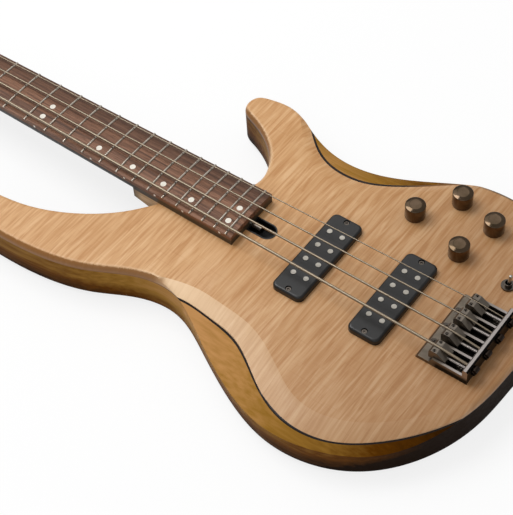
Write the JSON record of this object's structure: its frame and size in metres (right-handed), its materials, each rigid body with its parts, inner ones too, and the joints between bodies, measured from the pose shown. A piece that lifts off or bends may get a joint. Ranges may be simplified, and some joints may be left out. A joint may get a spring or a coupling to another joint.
{
  "type": "electric bass guitar",
  "caption": "Solid-body electric bass guitar with a bolt-on fretted neck, carved flamed-wood top, wide pickups, turning controls, adjustable bridge and geared tuners.",
  "frame": {"origin": "on the flat back of the body, under the saddle line on the centre line", "axes": "+X to the tail along the strings, +Y to the treble side, +Z out of the face"},
  "size_m": [1.1341, 0.3132, 0.0619],
  "materials": {
    "core_wood": "satin amber-brown lacquer",
    "dark_veneer": "satin lacquer",
    "maple_top": "satin clear lacquer over flamed maple",
    "neck_wood": "satin",
    "board_wood": "oiled rosewood",
    "fret_wire": "polished",
    "white_inlay": "polished",
    "black_nut": "satin",
    "black_nickel": "black nickel plate",
    "knob_metal": "black nickel plate",
    "bridge_casting": "black nickel plate on zinc",
    "plain_steel": "bright",
    "black_plastic": "satin",
    "pickup_plastic": "satin",
    "coil_tape": "tape",
    "circuit_board": "solder mask",
    "battery_case": "satin paint",
    "string_wire": "round wound"
  },
  "bodies": {
    "bass": {"body_core": "core_wood", "accent_veneer": "dark_veneer", "body_top": "maple_top", "neck": "neck_wood", "fretboard": "board_wood", "frets": "fret_wire", "inlay_dots": "white_inlay", "nut": "black_nut", "neck_screws": "black_nickel", "neck_ferrules": "black_nickel", "truss_rod": "plain_steel", "truss_rod_cup": "black_plastic", "neck_pickup_cover": "pickup_plastic", "bridge_pickup_cover": "pickup_plastic", "pickup_coils": "coil_tape", "pickup_poles": "plain_steel", "potentiometers": "plain_steel", "toggle_body": "black_nickel", "preamp_board": "circuit_board", "control_cover": "black_plastic", "output_jack": "black_nickel", "battery_box": "black_plastic", "battery": "battery_case", "battery_cover": "black_plastic", "small_screws": "black_nickel", "strap_buttons": "black_nickel", "bridge_base": "bridge_casting", "bridge_screws": "black_nickel", "tuner_housings": "black_nickel", "tuner_bushings": "black_nickel", "string_e": "string_wire", "string_a": "string_wire", "string_d": "string_wire", "string_g": "string_wire"},
    "truss_nut": {"truss_rod_nut": "black_nickel"},
    "volume_control": {"knob_volume": "knob_metal"},
    "blend_control": {"knob_blend": "knob_metal"},
    "treble_control": {"knob_treble": "knob_metal"},
    "bass_control": {"knob_bass": "knob_metal"},
    "toggle": {"toggle_lever": "black_nickel"},
    "e_intonation": {"intonation_screw_e": "black_nickel"},
    "e_saddle": {"saddle_e": "bridge_casting", "height_screws_e": "black_nickel"},
    "e_key": {"tuner_key_e": "black_nickel"},
    "e_post": {"tuner_post_e": "black_nickel"},
    "a_intonation": {"intonation_screw_a": "black_nickel"},
    "a_saddle": {"saddle_a": "bridge_casting", "height_screws_a": "black_nickel"},
    "a_key": {"tuner_key_a": "black_nickel"},
    "a_post": {"tuner_post_a": "black_nickel"},
    "d_intonation": {"intonation_screw_d": "black_nickel"},
    "d_saddle": {"saddle_d": "bridge_casting", "height_screws_d": "black_nickel"},
    "d_key": {"tuner_key_d": "black_nickel"},
    "d_post": {"tuner_post_d": "black_nickel"},
    "g_intonation": {"intonation_screw_g": "black_nickel"},
    "g_saddle": {"saddle_g": "bridge_casting", "height_screws_g": "black_nickel"},
    "g_key": {"tuner_key_g": "black_nickel"},
    "g_post": {"tuner_post_g": "black_nickel"}
  },
  "joints": [
    {"name": "truss_nut_turn", "type": "hinge", "parent": "bass", "child": "truss_nut", "pos_m": [-0.2034, 0, 0.0425], "axis": [1, 0, 0], "range_deg": [-180, 180]},
    {"name": "volume_turn", "type": "hinge", "parent": "bass", "child": "volume_control", "pos_m": [-0.095, 0.089, 0.044], "axis": [0, 0, 1], "range_deg": [-150, 150]},
    {"name": "blend_turn", "type": "hinge", "parent": "bass", "child": "blend_control", "pos_m": [-0.068, 0.1245, 0.044], "axis": [0, 0, 1], "range_deg": [-150, 150]},
    {"name": "treble_turn", "type": "hinge", "parent": "bass", "child": "treble_control", "pos_m": [-0.029, 0.1135, 0.044], "axis": [0, 0, 1], "range_deg": [-150, 150]},
    {"name": "bass_turn", "type": "hinge", "parent": "bass", "child": "bass_control", "pos_m": [-0.04, 0.073, 0.044], "axis": [0, 0, 1], "range_deg": [-150, 150]},
    {"name": "toggle_flip", "type": "hinge", "parent": "bass", "child": "toggle", "pos_m": [0.0125, 0.0675, 0.044], "axis": [0, 1, 0], "range_deg": [-12, 0]},
    {"name": "e_intonation_turn", "type": "hinge", "parent": "bass", "child": "e_intonation", "pos_m": [0.036, -0.0285, 0.0506], "axis": [1, 0, 0], "range_deg": [-2161, 4321]},
    {"name": "e_saddle_slide", "type": "slide", "parent": "bass", "child": "e_saddle", "axis": [1, 0, 0], "range_m": [-0.006, 0.003]},
    {"name": "e_key_turn", "type": "hinge", "parent": "bass", "child": "e_key", "pos_m": [-0.9206, -0.027, 0.0205], "axis": [0, -1, 0], "continuous": true},
    {"name": "e_post_turn", "type": "hinge", "parent": "bass", "child": "e_post", "pos_m": [-0.9306, -0.027, 0.041], "axis": [0, 0, 1], "continuous": true},
    {"name": "a_intonation_turn", "type": "hinge", "parent": "bass", "child": "a_intonation", "pos_m": [0.036, -0.0095, 0.0506], "axis": [1, 0, 0], "range_deg": [-2161, 4321]},
    {"name": "a_saddle_slide", "type": "slide", "parent": "bass", "child": "a_saddle", "axis": [1, 0, 0], "range_m": [-0.006, 0.003]},
    {"name": "a_key_turn", "type": "hinge", "parent": "bass", "child": "a_key", "pos_m": [-0.9906, -0.025, 0.0205], "axis": [0, -1, 0], "continuous": true},
    {"name": "a_post_turn", "type": "hinge", "parent": "bass", "child": "a_post", "pos_m": [-1.0006, -0.025, 0.041], "axis": [0, 0, 1], "continuous": true},
    {"name": "d_intonation_turn", "type": "hinge", "parent": "bass", "child": "d_intonation", "pos_m": [0.036, 0.0095, 0.0506], "axis": [1, 0, 0], "range_deg": [-2161, 4321]},
    {"name": "d_saddle_slide", "type": "slide", "parent": "bass", "child": "d_saddle", "axis": [1, 0, 0], "range_m": [-0.006, 0.003]},
    {"name": "d_key_turn", "type": "hinge", "parent": "bass", "child": "d_key", "pos_m": [-0.9906, 0.025, 0.0205], "axis": [0, 1, 0], "continuous": true},
    {"name": "d_post_turn", "type": "hinge", "parent": "bass", "child": "d_post", "pos_m": [-1.0006, 0.025, 0.041], "axis": [0, 0, 1], "continuous": true},
    {"name": "g_intonation_turn", "type": "hinge", "parent": "bass", "child": "g_intonation", "pos_m": [0.036, 0.0285, 0.0506], "axis": [1, 0, 0], "range_deg": [-2161, 4321]},
    {"name": "g_saddle_slide", "type": "slide", "parent": "bass", "child": "g_saddle", "axis": [1, 0, 0], "range_m": [-0.006, 0.003]},
    {"name": "g_key_turn", "type": "hinge", "parent": "bass", "child": "g_key", "pos_m": [-0.9206, 0.027, 0.0205], "axis": [0, 1, 0], "continuous": true},
    {"name": "g_post_turn", "type": "hinge", "parent": "bass", "child": "g_post", "pos_m": [-0.9306, 0.027, 0.041], "axis": [0, 0, 1], "continuous": true}
  ],
  "couplings": [
    {"joint": "e_intonation_turn", "follows": "e_saddle_slide", "rad_per_m": -12566},
    {"joint": "e_key_turn", "follows": "e_post_turn", "ratio": -20},
    {"joint": "a_intonation_turn", "follows": "a_saddle_slide", "rad_per_m": -12566},
    {"joint": "a_key_turn", "follows": "a_post_turn", "ratio": -20},
    {"joint": "d_intonation_turn", "follows": "d_saddle_slide", "rad_per_m": -12566},
    {"joint": "d_key_turn", "follows": "d_post_turn", "ratio": 20},
    {"joint": "g_intonation_turn", "follows": "g_saddle_slide", "rad_per_m": -12566},
    {"joint": "g_key_turn", "follows": "g_post_turn", "ratio": 20}
  ]
}
